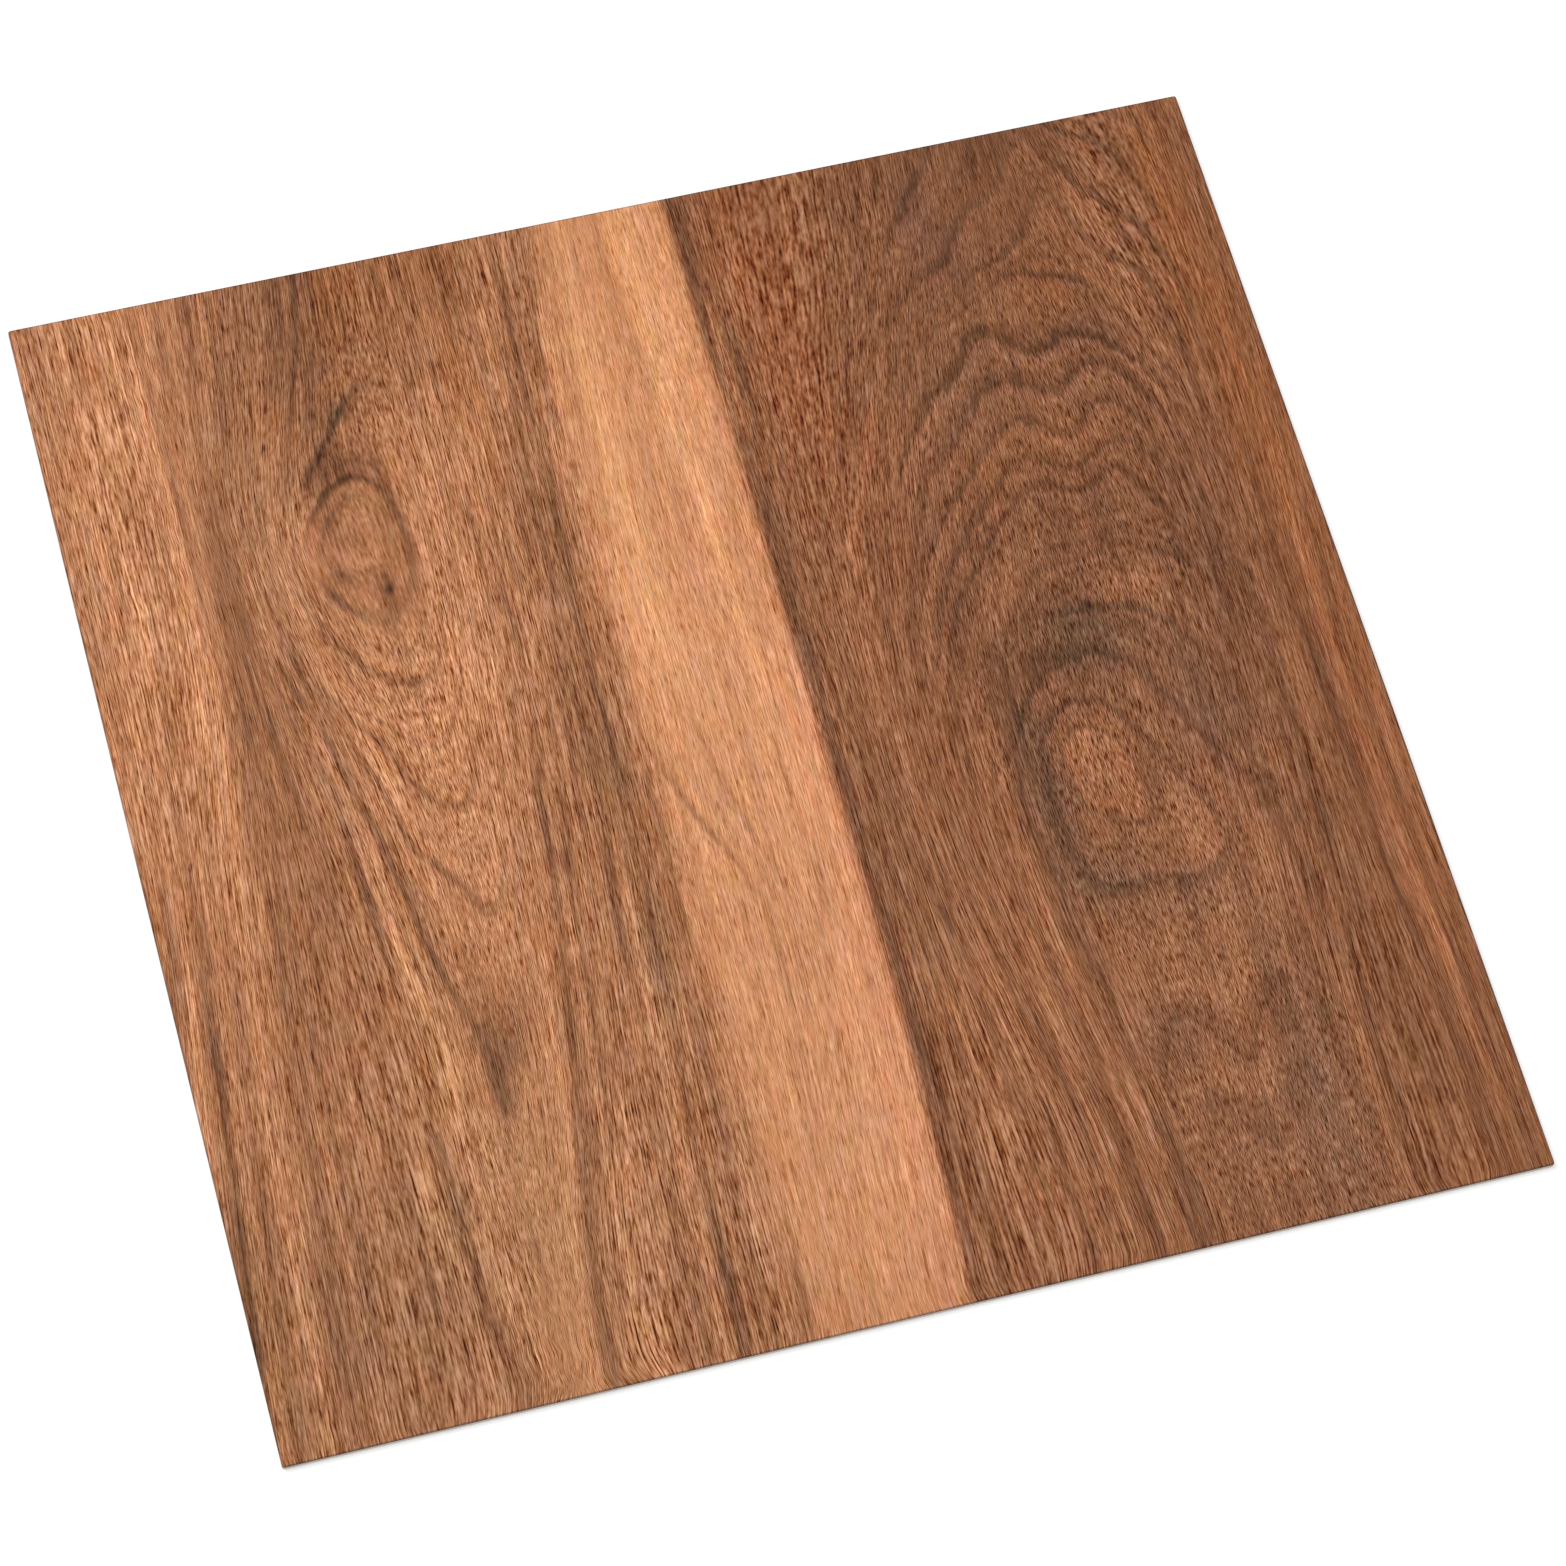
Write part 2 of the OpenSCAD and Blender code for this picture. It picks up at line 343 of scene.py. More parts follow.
# Lighter and darker streaks that run with the fibres: from fibre number and mm down, to the same,
# half width in mm, and how much lighter or darker in 255ths
streaks = [
    # Pale outer strip of the left board, with its darker and lighter threads
    (13, -60, 13, 215, 11, 19), (22, -40, 22, 340, 1.7, 18), (30.3, -60, 29.5, 40, 1.1, 18),
    (26.3, -40, 26, 110, 1.1, -14), (22.7, -40, 22.5, 90, 1.2, 12), (20.3, 0, 20.3, 50, .6, -12), (.5, -30, .5, 70, 1.5, 6),
    (0, 100, 0, 155, .8, 18), (1, 84, 1, 106, 1.5, -14), (1.5, 105, 1.5, 175, .6, -10),
    (6, 70, 6, 120, .6, -12), (4.5, 150, 5.5, 192, 1.2, -20), (11.2, 165, 11.7, 330, 1.1, -25),
    (13.6, 155, 13, 220, .9, -20), (12, 235, 12.5, 290, 1.6, -12), (8, 168, 6.5, 245, 1, 26),
    (7.5, 55, 8, 165, 1, 6), (9.6, 160, 9.6, 215, .6, -12), (16.5, 150, 16.5, 240, 1, 6),
    (19, 175, 18.3, 260, .6, -16), (17, 235, 17, 320, 1.8, -12), (25, 250, 24.4, 300, 1.4, -16), (31.6, 225, 33.4, 330, 1.3, 10), (28.8, 224, 29, 262, 1.1, -14), (27.6, 278, 27.6, 330, 1.1, -12), (21.5, 180, 21.5, 320, 1.2, 7),
    (14, 95, 14, 155, .8, -8), (10, -20, 10, 70, .7, 7), (12.5, 65, 12.5, 115, .8, 6),
    (8.5, 225, 10, 320, 2, -6), (25.5, 110, 25.5, 130, .7, -10), (24.5, 60, 23, 130, .7, 8),
    # Darker strip between the pale one and the knot
    (34, 45, 35, 350, 8, -13), (38, 50, 38, 170, 5, -9), (43.2, 46, 42.4, 106, 2.2, -20),
    (46.4, 48, 46.4, 90, 1.2, -14), (38, 96, 38.5, 134, 2, -14), (32, 98, 32, 130, 1.2, -10),
    (40.5, 112, 40.5, 155, 1.5, -14), (46.5, 92, 46, 124, 2, 6), (45, -20, 45, 35, 1, -9),
    (40.8, 15, 40.8, 50, .7, -14), (54.5, -20, 54.5, 32, .8, -22), (49, -40, 49, 60, 4, -10),
    (50.4, 72, 49.6, 118, 1.3, 18), (44, 235, 44, 265, 1, 15), (46, 212, 46, 238, .8, 8),
    (48, 222, 48.5, 300, 1, -16), (50, 275, 50, 320, 1, -16),
    (41, 225, 42, 320, 1, -10), (36.5, 230, 36.5, 320, .8, 5), (28.5, 240, 28.5, 320, 1, -6),
    (48.5, 132, 48.3, 200, .8, -18), (29, 150, 31, 240, .8, -10), (33.5, 170, 35, 230, .8, 4),
    (42.5, 150, 43, 230, .7, -9), (39.5, 150, 40, 240, .7, -7), (50, 245, 57, 275, 1.2, -8),
    # Round the knot
    (58, 92, 64, 160, 1.5, 20), (61.6, 62, 60, 104, 1.5, 12), (55, 48, 55.6, 88, 1, 10), (53.5, 84, 54, 100, 1, -14), (49.5, 103, 49.5, 124, 1, -24),
    (54, 98, 52.5, 122, 1.1, -18), (61, 74, 61, 102, 1.6, 14), (66, 76, 66, 92, 1.4, 6),
    (70, -40, 70, 48, 10, -25), (66, 42, 64, 8, 1.6, -12), (75, 34, 75, 66, 3.4, -28),
    (80.5, 46, 81.5, 98, 1, -20), (86.6, 60, 86.4, 92, 1, 12), (77, 84, 77, 102, .8, -20),
    (70, 82, 70, 96, 1.5, -10), (79, 92, 77, 220, 11, 11), (91, 92, 91, 56, 1, 12),
    (94.3, 35, 94.5, 75, 1.1, 12), (93.6, 74, 94, 130, 1.3, 16), (97, 40, 97, 75, .8, 12), (99.5, 55, 99.5, 105, .6, 10),
    (64, 112, 63, 150, 1.6, 8), (52, 112, 51.8, 172, 1.1, 16), (52.3, 150, 52.3, 212, .8, 22),
    (53.5, 190, 54, 330, 2.6, 12), (67, 182, 69, 238, 3, -14), (75, 196, 74, 228, 5, -12),
    (74, 232, 74, 350, 9, 13), (90, 160, 84, 330, 2.2, 18),
    (66, 258, 66, 284, 1.2, -16), (63, 236, 63, 260, .7, -10), (71, 264, 71, 288, .6, -12),
    (77, 236, 76.5, 262, .6, -9), (85.5, 255, 87, 330, 1, -10), (94, 192, 93.5, 226, 1.1, -24),
    (92.4, 200, 92.4, 340, 2.2, -15), (97.6, 236, 97.6, 266, 1.6, -16), (102.6, 232, 102.6, 266, 1.4, 14), (98, 226, 99, 330, 1.6, 6), (102, 232, 101, 330, 1.6, 16),
    (98.8, 256, 99, 290, .6, -14), (95.5, 120, 95.3, 150, .7, -12), (92, 104, 92, 122, .8, -12),
    (56.5, 150, 60, 205, 1, -16), (87, 130, 86, 145, .8, -8),
    # Dark strips beside the sapwood
    (100, -40, 100, 26, 11, -14), (103.8, -10, 103.8, 38, 1.4, -20), (98.5, 14, 98.5, 50, 1.2, 10),
    (96.4, 22, 96.4, 64, .7, -14), (97, 145, 97, 180, .9, -26), (103, 150, 101, 182, .6, -26),
    (100.7, 168, 100.8, 194, .5, -20), (100, 82, 100, 120, .9, -16), (104, 82, 104, 104, 1, -16),
    (109, 76, 109, 98, .8, -14), (112.6, 16, 112.6, 56, 1, 24), (108, 25, 108, 72, 2, 10),
    (106.5, 75, 106.5, 130, 1.2, 6), (112.5, 64, 112.5, 110, .8, -22), (116.5, 62, 117.7, 172, 1.3, -24),
    (118.5, 55, 118.5, 100, 1, -14), (111.6, 104, 111.6, 158, 1.7, -20), (112.8, 150, 112, 340, 1.1, 20),
    (119, 102, 119, 135, .8, 12), (116.6, 168, 115.8, 330, 1.2, -20), (110.2, 164, 110.2, 210, .8, -20),
    (120.6, 168, 120.6, 205, .6, -14), (124.2, 146, 123.8, 208, .9, -30), (122.8, 14, 122.8, 68, .8, -20),
    (108.5, 108, 108.5, 160, 1.5, -12), (107.5, 220, 107.5, 330, 1, -8), (110, 220, 110, 330, 1, -7),
    (105.5, 160, 106, 215, 1, 5), (97.5, 190, 102, 232, 1, -12), (117.8, 190, 118.5, 330, 1, 5),
    (120.8, 210, 121, 330, 1, -12), (117, 0, 117, 62, .7, -10), (115, 20, 114.5, 60, .7, -8),
    (105, 30, 104.5, 80, .8, 5), (120.5, 68, 121, 130, 1, -6), (102, 100, 103, 150, 1.2, -10),
    # Sapwood
    (124.7, 18, 124.7, 58, 1.1, 22), (128.5, 80, 129, 160, 2.8, 10), (135.3, 15, 136, 150, 3, 14),
    (156.5, -40, 156.5, 165, 2, 17), (161, -40, 162, 190, 3.5, 7), (147, -40, 147, 130, 3.5, -7),
    (151, -30, 151.3, 62, 1, -20), (150.8, 40, 151, 110, .9, -6), (132.5, -30, 131, 22, 1.5, -8),
    (136, 175, 137, 340, 7, -6), (163, 175, 163, 340, 2.5, -4), (157, 185, 157, 265, 1.4, 7),
    (149, 205, 149.3, 262, .9, 6), (145, 160, 146, 340, 5, -3), (153, 225, 153, 320, 1.5, 3),
    (130.7, 210, 130.7, 244, .6, -9), (137.8, 186, 136.5, 244, .6, -12),
    (142.2, 180, 142.4, 225, .6, -10), (153.7, 190, 153.8, 222, .6, -10),
    (156.5, 182, 156.3, 206, .6, -12), (161.7, 60, 161.5, 115, .7, -8), (163, -20, 163.2, 60, .6, -7),
    (155, -20, 155, 60, .6, 5), (144, 20, 144, 60, .6, 4), (126, 235, 128, 330, 3, -8),
    (128.5, 262, 128.5, 330, 1, -8),
    # Dark seam beside the sapwood, with the pale sliver that it splits round
    (169, -30, 169, 62, 1.1, -26), (170.9, 24, 171.4, 76, 1, 28), (173.8, 34, 173, 84, 1.3, -18),
    (171, 72, 171, 150, 1.7, -16), (169.6, 130, 169.6, 300, 1.4, -20),
    # Right board, left of the arches
 (174, 118, 173.5, 152, .6, 12), (196, 60, 192, 110, 4, 6),
    (212, -60, 212, 26, 12, -12), (192.5, -20, 193, 32, .7, -12), (189, -20, 189, 26, .5, -10),
    (222, 18, 224, 42, 4, -8), (207.5, 122, 207.5, 152, 2.4, -10), (184, 125, 183, 168, 2.2, 6),
    (191.5, 208, 191, 284, 1, -20), (192.6, 196, 192, 245, .9, 16), (193.4, 236, 192, 320, 1, 13),
    (187, 214, 187, 340, 1.2, 10), (177, 205, 177, 330, .8, 10), (179.5, 200, 179.5, 240, .6, 12),
    (182.5, 200, 182, 260, .8, -10), (184.3, 255, 184.3, 330, .9, -14), (173, 210, 172.5, 280, .7, 6),
    (198.5, 196, 198, 250, .8, 10), (196.2, 205, 196, 236, .5, -10), (203.6, 214, 198, 310, .7, -14),
    (205.6, 192, 206.2, 240, .8, 18), (204.6, 240, 201, 320, .8, 9), (201.5, 196, 203, 236, .6, -10),
    (206.5, 242, 205.5, 320, 1.4, 8), (200.8, 196, 200.8, 232, .6, 8), (211, 214, 211, 330, 1.3, -8),
    (182.5, 204, 182.5, 216, 1, -14), (212, 268, 212, 290, 1.2, -12),
    # Inside and round the oval
    (216, 152, 216, 216, 1.8, -12), (230, 160, 232, 200, 5.5, 11), (248, 184, 249, 216, 5, 11),
    (240, 210, 240, 256, 26, 9), (237, 126, 240, 160, 8, -9), (256, 140, 260, 190, 6, -7),
    (228, 198, 230, 224, 9, -6), (246, 206, 246, 224, 5, -4), (226, 238, 226, 264, 6, -3),
    (254, 234, 254, 340, 8, -4), (266, 176, 268, 226, 3, 7), (262, 55, 262, 70, 9, -8),
    (265, 122, 266, 150, 3, -9), (262, 150, 263, 176, 3, -10), (223, 240, 223, 266, .8, -14),
    (227, 242, 227, 264, .8, -14), (231.5, 238, 231.5, 258, 1, -12), (254.5, 240, 254.5, 266, .8, -12),
    (260.5, 238, 260.5, 262, .8, -12), (242, 236, 242, 262, 3, 6), (247, 262, 247, 330, 1, 5),
    (233, 262, 234, 330, 4, -4), (258, 240, 258, 262, 3, -8),
    # Right edge
    (296.9, 80, 297, 340, 1.3, 21), (285.8, 92, 286, 190, 1.5, 11), (289.6, 96, 290.6, 200, 1.3, -10), (291.2, 142, 290.8, 218, .9, -14), (293, 100, 293, 126, .6, -14),
    (290.3, 208, 290.3, 254, .8, -14), (301, 112, 301, 168, .8, -12), (301.6, 184, 301.6, 222, 1, -12),
    (279.6, 225, 279.8, 320, .8, -14), (275.6, 198, 275.4, 236, .6, -10), (276.8, 232, 277, 320, 1.1, 9),
    (269.8, 226, 270, 262, 1, -12), (277, 14, 286, 66, 2, 9), (272, 42, 284, 82, 1.4, 7),
    (294, -20, 294, 180, 6, 0), (286, 105, 286, 195, 2.2, 5), (304, 80, 305, 250, 2, 6),
    (281.3, 196, 281.3, 214, 1, -14), (287.3, 122, 287.3, 160, .8, -12), (284, 130, 284, 200, .8, 7),
    (282.2, 95, 282.2, 135, .7, -8), (299.5, 230, 299.5, 330, 1.2, -8), (292.5, 235, 292.5, 330, 1, -5),
    (258, 24, 258, 70, 10, 0), (252, -30, 252, 22, 20, -5),
]

# Soft patches: middle in mm across and down, half width, half length, how much lighter or darker
# in 255ths, and how much warmer and how much pinker in hundredths of the tone
patches = [
    # Left board
    (106, 45, 3, 22, 0, 7, 0), (105, 6, 7, 9, 0, 8, 0), (79, 12, 4, 16, 0, 8, 0), (90, 12, 4, 12, 0, 5, 0),
    (48, 67, 6, 20, 0, -4, -1), (35, 275, 16, 25, 0, -4, -1), (4, 275, 4, 25, 0, 0, -2), (114, 105, 3, 5, 0, -6, 0),
    (116, 152, 3, 8, 0, -7, -2), (113, 203, 4, 9, 0, -7, -2), (52, 145, 1.5, 24, 0, -5, 0), (71, 265, 8, 36, 0, -1, -2),
    (57, 208, 4, 16, 0, 0, -2), (50, 255, 4, 12, 0, 0, -2), (114, 175, 3, 28, 0, 0, -1), (118, 78, 2.5, 14, 0, 0, -2),
    (62, 80, 3, 6, 0, 0, 2), (90, 200, 1.5, 12, 0, 5, 0), (25, 160, 4, 20, 0, 0, -1),
    (75, 57, 3.8, 2.2, -24, 0, 2), (66, 57, 4, 4, -9, 0, 1), (65, 63.8, 1.5, 1.1, -12, -9, -3),
    (75.3, 92.5, .9, 1.2, -58, 0, 0), (75.6, 95, 2, 2.4, -12, 0, 1), (65, 71.5, 1.7, 3, -13, 0, 0), (71, 65.5, 2.2, 1, -8, 0, 0),
    (70, 77, 2.5, 2, -8, 0, 0), (64, 86.5, 2, 2.5, -10, 0, 1), (74, 41, 1.4, 2.2, -8, -12, -4), (62, 93, 1.4, 1.6, -10, -4, 2),
    (66, 84, 3, 4, 8, 0, 0), (81.5, 80, 1.6, 10, -10, 0, 0), (64.5, 87, 1.5, 1.8, -16, 0, 0), (69.8, 229, 1.2, 6, -18, 0, 0),
    (55, 70, 3, 6, 14, 0, 0), (57, 80, 1.5, 6, 8, 0, 0), (86, 55, 3, 12, 4, 0, 0), (85, 92, 2.5, 20, 12, 0, 0), (80, 130, 6, 20, 6, 0, 0),
    (75, 10, 8, 14, -14, 0, 0), (94, 30, 5, 14, -7, 0, 0), (50, 45, 2.5, 10, -7, 0, 0), (64, 63, 3, 5, -7, 0, 0),
    (95, 50, 3, 8, 9, 0, 0), (92, 95, 4, 25, 6, 0, 0), (68, 165, 9, 22, 7, 0, 0), (74, 231, 4, 8, 12, 0, 0),
    (72, 265, 9, 18, 6, 0, 0), (14.5, 92, 1.4, 14, 18, 0, 0), (.5, 189, 1.5, 7, -24, 0, 0), (88, 124, 7, 28, 6, 0, 0),
    (66, 196, 2.5, 8, -5, 0, 0), (74, 214, 4.5, 5, -6, 0, 0), (70, 226, 2, 7, -6, 0, 0),
    (71, 210, 6, 25, 4, 0, 0), (59, 175, 5, 30, 4, 0, 0), (107, 175, 4, 14, 3, 0, 0), (83, 288, 16, 12, -6, 0, 0),
    (11, 161, 4, 12, -5, 0, 0), (35, 38, 4, 14, 5, 0, 0), (75, 265, 70, 30, 0, -3, -.5),
    (60, 297, 3, 8, -9, 0, 0), (111, 297, 3, 8, -9, 0, 0), (112, 225, 8, 25, -5, 0, 0), (79, 57, 2, 3, 8, 0, 0), (24.5, 118, 1.5, 12, 14, 0, 0), (17, 270, 2, 10, -8, 0, 0),
    (115, 165, 4, 16, -15, 0, 0), (120, 215, 4, 24, -12, 0, 0), (113, 130, 5, 30, -5, 0, 0),
    (118, 30, 7, 30, -6, 0, 0), (123, 30, 1.5, 14, -9, 0, 0), (105, 290, 6, 12, -9, 0, 0),
    # Sapwood
    (162, 75, 4, 20, -4, 0, 0), (160, 110, 7, 14, -5, 0, 0), (153, 178, 6, 20, 3, 0, 0),
    (155, 302, 10, 14, -14, 0, 0), (131, 304, 6, 8, -8, 0, 0), (132, 8, 3, 14, -10, 0, 0), (126, 290, 3, 12, -7, 0, 0),
    (137, 70, 2.5, 60, 0, 0, -2), (155, 40, 2, 34, 0, 0, -2), (165, 190, 3, 60, 0, 1, 2), (158, 265, 4, 35, 0, 0, 2),
    (150, 100, 2.5, 9, 0, 0, 2), (151, 15, 1.5, 14, 0, 5, 0), (148, 190, 10, 60, 0, -2, 0),
    # Right board, left of the arches
    (186, 20, 8, 30, 0, 13, 3), (190, 76, 10, 18, 0, 6, 1.5), (170, 135, 2, 5, 0, -8, 0), (172, 100, 2, 10, 0, -5, -1),
    (210, 112, 4, 14, 0, -4, 0), (177, 200, 4, 20, 0, -3, -1),
    (184, 100, 7, 40, 7, 0, 0), (179.5, 266, 2.5, 12, 14, 0, 0), (177, 226, 1.5, 8, 10, 0, 0), (180, 27, 2, 6, 12, 0, 0),
    (202, 5, 3, 9, 9, 0, 0), (182, 180, 8, 35, 6, 0, 0), (195, 195, 9, 45, 7, 0, 0), (213, 262, 9, 30, 7, 0, 0), (182, 240, 6, 14, 4, 0, 0),
    (198, 120, 14, 80, 0, 2, 1), (186, 265, 12, 28, 8, 0, 0),
    # Arches and oval
    (240, 112, 14, 12, -8, 0, 0), (255, 112, 10, 10, -5, 0, 0), (275, 138, 6, 22, -11, 0, 0),
    (265, 180, 3.5, 14, -14, 0, 0), (229, 16, 3, 5, -10, -6, 1.5), (230, 28, 4, 7, -5, -8, 1.5), (212, 172, 3, 18, -8, 0, 0), (214, 148, 8, 10, -6, 0, 0),
    (266, 150, 3, 12, 9, 0, 0), (235, 67, 10, 8, -5, 0, 0), (230, 152, 9, 13, -7, 0, 0), (270, 203, 5, 12, 8, 0, 0), (258, 62, 7, 4, -3, -6, 1), (249, 135, 6, 3, 6, 0, 0), (272, 27, 3, 9, 8, 0, 0), (255, 5, 7, 8, -8, 0, 0), (240, 35, 20, 14, -4, 0, 0), (262, 10, 16, 10, -6, 0, 0), (204, 12, 6, 12, -5, 0, 0),
    (243, 254, 3, 8, 10, 0, 0), (229, 178, 6, 8, 8, 0, 0), (248, 203, 4, 7, 6, 0, 0),
    (216, 234, 2, 8, -8, 0, 0), (228, 166, 8, 3, -6, 0, 0), (243, 272, 9, 8, 7, 0, 0), (229, 120.5, 3, 3, 7, 0, 0), (222, 128, 2.5, 4, 8, 0, 0),
    (215.5, 136, 2.5, 4.5, 8, 0, 0), (210, 144, 2, 5, 8, 0, 0), (252, 133, 6, 3.5, 8, 0, 0), (260, 137, 3.5, 6, 5, 0, 0),
    (240, 142, 7, 5, -5, 0, 0), (250, 90, 6, 4, 5, 4, 0), (222, 115, 4, 4, -5, 0, 1),
    (255, 48, 6, 10, 0, 9, 0), (262, 15, 5, 10, 0, 4, 0), (238, 92, 14, 7, 0, 5, 0), (225, 67, 10, 5, 0, -3, -1.5),
    (226, 80, 6, 9, 0, -4, 0), (243, 124, 4, 6, 0, 0, 2), (235, 145, 6, 7, 0, -16, -4), (244, 148, 4, 6, 0, -8, 0),
    (216, 185, 3.5, 22, 0, -14, -2.5), (226, 209, 7, 5, 0, -12, -2), (244, 217, 6, 4, 0, -9, 0), (257, 163, 5, 13, 0, -9, -.5),
    (265, 176, 7, 9, 0, -5, 0), (256, 188, 3.5, 12, 0, 0, 2), (232, 180, 6, 10, 0, 4, 1), (266, 230, 4, 5, 0, 0, 1.5),
    (228, 252, 7, 7, 0, -9, 0), (258, 268, 4, 26, 0, -12, -1), (248, 285, 8, 20, 0, -5, 0), (220, 290, 2.5, 10, 0, -6, -1),
    (275, 125, 5, 15, 0, -4, 0),
    # Right edge
    (292, 130, 3, 20, -8, 0, 0), (297, 75, 2, 25, 4, 0, 0), (268, 30, 5, 12, 4, 0, 0),
    (294, 30, 4.5, 28, 0, 11, .5), (296, 95, 6, 30, 0, 11, .5), (298, 160, 5, 35, 0, 6, 1), (299, 230, 5, 40, 0, 3, 1),
    (281, 100, 4, 14, 0, 0, 1.5), (293, 180, 2.5, 50, 0, 0, 1.5),
]


def smooth_line(marks, spacing):
    """Runs a smooth line through given marks. Gives (across, down, darkness) every so many mm."""
    dark = 0
    line = []
    for mark in marks:
        dark = mark[2] if len(mark) > 2 else dark
        line.append((mark[0], mark[1], dark))
    line = np.array(line, float)
    closed = tuple(line[0, :2]) == tuple(line[-1, :2])
    before = line[-2] if closed else 2 * line[0] - line[1]
    after = line[1] if closed else 2 * line[-1] - line[-2]
    line = np.vstack([before, line, after])
    pieces = []
    for a, b, c, d in zip(line, line[1:], line[2:], line[3:]):
        steps = max(1, round(math.hypot(*(c - b)[:2]) / spacing))
        t = np.arange(steps)[:, None] / steps
        place = (2 * b + (c - a) * t + (2 * a - 5 * b + 4 * c - d) * t ** 2
                 + (3 * b - a - 3 * c + d) * t ** 3) / 2
        place[:, 2] = (b[2] + (c[2] - b[2]) * t)[:, 0]
        pieces.append(place)
    return np.vstack(pieces)


def distances(a, b):
    squares = (a ** 2).sum(1)[:, None] + (b ** 2).sum(1)[None] - 2 * a @ b.T
    return np.sqrt(np.maximum(squares, 0))


def drape(marks, heights, places):
    """Stretches a smooth sheet over marks at their heights and reads it at the places."""
    firmness = 1.2
    count = len(marks)
    pull = np.zeros((count + 3, count + 3))
    pull[:count, :count] = -distances(marks, marks) ** firmness + 1e-4 * np.eye(count)
    pull[:count, count] = 1
    pull[:count, count + 1:] = marks
    pull[count:, :count] = pull[:count, count:].T
    weight = np.linalg.solve(pull, np.append(heights, (0, 0, 0)))
    read = np.empty(len(places))
    for start in range(0, len(places), 4000):
        some = places[start:start + 4000]
        read[start:start + 4000] = (-distances(some, marks) ** firmness @ weight[:count]
                                    + weight[count] + some @ weight[count + 1:])
    return read


def lines_to_marks(lines, spacing):
    paths = [smooth_line(line[1:], spacing) for line in lines]
    heights = np.concatenate([np.full(len(path), float(line[0])) for line, path in zip(lines, paths)])
    return np.vstack(paths), heights


def ring_field(lines, places):
    """The ring number at each place, and how dark the nearest ring is there."""
    reach, faint, faint_weight, own_ring = 3.0, .12, .02, .3
    marks, heights = lines_to_marks(lines, 4)
    number = drape(marks[:, :2], heights, places)
    dark = np.empty(len(places))
    for start in range(0, len(places), 4000):
        part = slice(start, start + 4000)
        apart = distances(places[part], marks[:, :2])
        other = number[part][:, None] - heights[None]
        weight = np.exp(-.5 * (apart / reach) ** 2 - .5 * (other / own_ring) ** 2)
        dark[part] = (weight @ marks[:, 2] + faint_weight * faint) / (weight.sum(1) + faint_weight)
    return number, dark


def soft_step(value, start, end):
    t = np.clip((value - start) / (end - start), 0, 1)
    return t * t * (3 - 2 * t)


# Each point of the mesh is given its place in the figure
places = np.column_stack([tile_w / 2 + points[:, 0], tile_len / 2 - points[:, 1]])
right_cut = np.interp(places[:, 1], *np.array(sapwood_right).T[::-1])
left_cut = np.interp(places[:, 1], *np.array(sapwood_left).T[::-1])
on_right_board = places[:, 0] > right_cut
ring = np.empty(len(places))
ring_dark = np.empty(len(places))
for board, lines in ((~on_right_board, knot_rings), (on_right_board, arch_rings)):
    ring[board], ring_dark[board] = ring_field(lines, places[board])
fibre_marks, fibre_numbers = lines_to_marks(fibre_lines, 8)
fibre = drape(fibre_marks[:, :2], fibre_numbers, places)

cell_w = core_w / columns
cell_len = core_len / rows
grid_ring = ring[:len(flat)].reshape(rows + 1, columns + 1)
slope_y, slope_x = np.gradient(grid_ring, cell_len, cell_w)
slope = np.hypot(slope_x, slope_y)
grid_right = on_right_board[:len(flat)].reshape(rows + 1, columns + 1)
seam = np.zeros_like(grid_right)
seam[:, 1:] |= grid_right[:, 1:] != grid_right[:, :-1]
seam[:, :-1] |= grid_right[:, 1:] != grid_right[:, :-1]
grid_gap = 1 / np.clip(np.where(seam, 1, slope), .06, 4)
ring_gap = np.append(grid_gap.ravel(), np.tile(grid_gap.ravel()[core], len(section)))

# Where the rings cross the fibres instead of running along with them, the pores are cut short
grid_crossing = np.abs(slope_y) / np.maximum(slope, .01)
crossing = np.append(grid_crossing.ravel(), np.tile(grid_crossing.ravel()[core], len(section)))

streak_tone = np.zeros(len(places))
for start_fibre, start_down, end_fibre, end_down, half_width, tone in streaks:
    along = (places[:, 1] - start_down) / (end_down - start_down)
    middle = start_fibre + (end_fibre - start_fibre) * along
    strength = np.exp(-.5 * ((fibre - middle) / half_width) ** 2)
    streak_tone += tone * strength * soft_step(along, 0, .25) * soft_step(along, 1, .75)

warmth = np.zeros(len(places))
pinkness = np.zeros(len(places))
patch_tone = np.zeros(len(places))
for middle, down, half_width, half_length, tone, warmer, pinker in patches:
    strength = np.exp(-.5 * ((places[:, 0] - middle) / half_width) ** 2
                      - .5 * ((places[:, 1] - down) / half_length) ** 2)
    patch_tone += tone * strength
    warmth += warmer / 100 * strength
    pinkness += pinker / 100 * strength

for name, values in (("ring", ring), ("ring_gap", ring_gap), ("ring_dark", ring_dark),
                     ("crossing", crossing), ("fibre", fibre),
                     ("sapwood_right", right_cut - places[:, 0]),
                     ("sapwood_left", places[:, 0] - left_cut),
                     ("streak_tone", streak_tone), ("patch_tone", patch_tone), ("warmth", warmth), ("pinkness", pinkness)):
    layer = sheet_mesh.attributes.new(name, "FLOAT", "POINT")
    layer.data.foreach_set("value", values.astype(np.float32))

